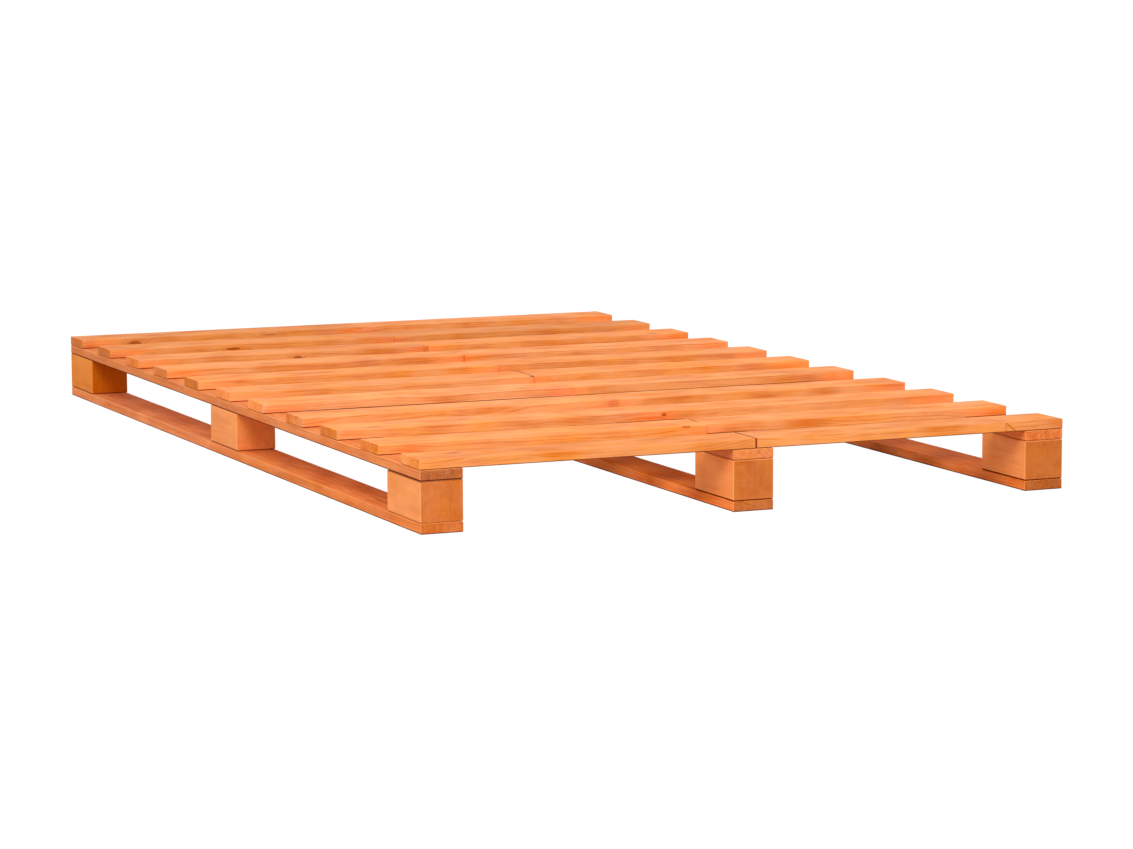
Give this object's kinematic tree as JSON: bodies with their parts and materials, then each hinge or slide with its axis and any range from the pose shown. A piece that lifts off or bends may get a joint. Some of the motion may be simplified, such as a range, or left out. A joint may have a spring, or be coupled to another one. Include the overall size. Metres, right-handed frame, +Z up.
{
  "type": "pallet bed",
  "caption": "Low pallet-style bed base in stained pine: slats in two halves on block runners, open underneath, made to carry a mattress.",
  "frame": {"origin": "on the floor below the middle of the bed", "axes": "+X along the slats to the right, +Y along the runners to the back, +Z up. The end that faces the camera in the picture is the front, at -Y"},
  "size_m": [1.2, 2, 0.1229],
  "materials": {
    "slat_pine": "honey stained planed pine",
    "runner_pine": "honey stained planed pine",
    "block_pine": "honey stained planed pine",
    "zinc_screw": "zinc plated"
  },
  "bodies": {
    "root": {"base_board_left": "runner_pine", "block_left_front": "block_pine", "block_screw_left_front_1": "zinc_screw", "block_screw_left_front_2": "zinc_screw", "block_left_middle": "block_pine", "block_screw_left_middle_1": "zinc_screw", "block_screw_left_middle_2": "zinc_screw", "block_left_back": "block_pine", "block_screw_left_back_1": "zinc_screw", "block_screw_left_back_2": "zinc_screw", "stringer_left": "runner_pine", "base_board_centre": "runner_pine", "block_centre_front": "block_pine", "block_screw_centre_front_1": "zinc_screw", "block_screw_centre_front_2": "zinc_screw", "block_centre_middle": "block_pine", "block_screw_centre_middle_1": "zinc_screw", "block_screw_centre_middle_2": "zinc_screw", "block_centre_back": "block_pine", "block_screw_centre_back_1": "zinc_screw", "block_screw_centre_back_2": "zinc_screw", "stringer_centre": "runner_pine", "base_board_right": "runner_pine", "block_right_front": "block_pine", "block_screw_right_front_1": "zinc_screw", "block_screw_right_front_2": "zinc_screw", "block_right_middle": "block_pine", "block_screw_right_middle_1": "zinc_screw", "block_screw_right_middle_2": "zinc_screw", "block_right_back": "block_pine", "block_screw_right_back_1": "zinc_screw", "block_screw_right_back_2": "zinc_screw", "stringer_right": "runner_pine", "slat_01_left": "slat_pine", "slat_01_right": "slat_pine", "slat_02_left": "slat_pine", "slat_02_right": "slat_pine", "slat_03_left": "slat_pine", "slat_03_right": "slat_pine", "slat_04_left": "slat_pine", "slat_04_right": "slat_pine", "slat_05_left": "slat_pine", "slat_05_right": "slat_pine", "slat_06_left": "slat_pine", "slat_06_right": "slat_pine", "slat_07_left": "slat_pine", "slat_07_right": "slat_pine", "slat_08_left": "slat_pine", "slat_08_right": "slat_pine", "slat_09_left": "slat_pine", "slat_09_right": "slat_pine", "slat_10_left": "slat_pine", "slat_10_right": "slat_pine", "slat_11_left": "slat_pine", "slat_11_right": "slat_pine"}
  },
  "joints": []
}
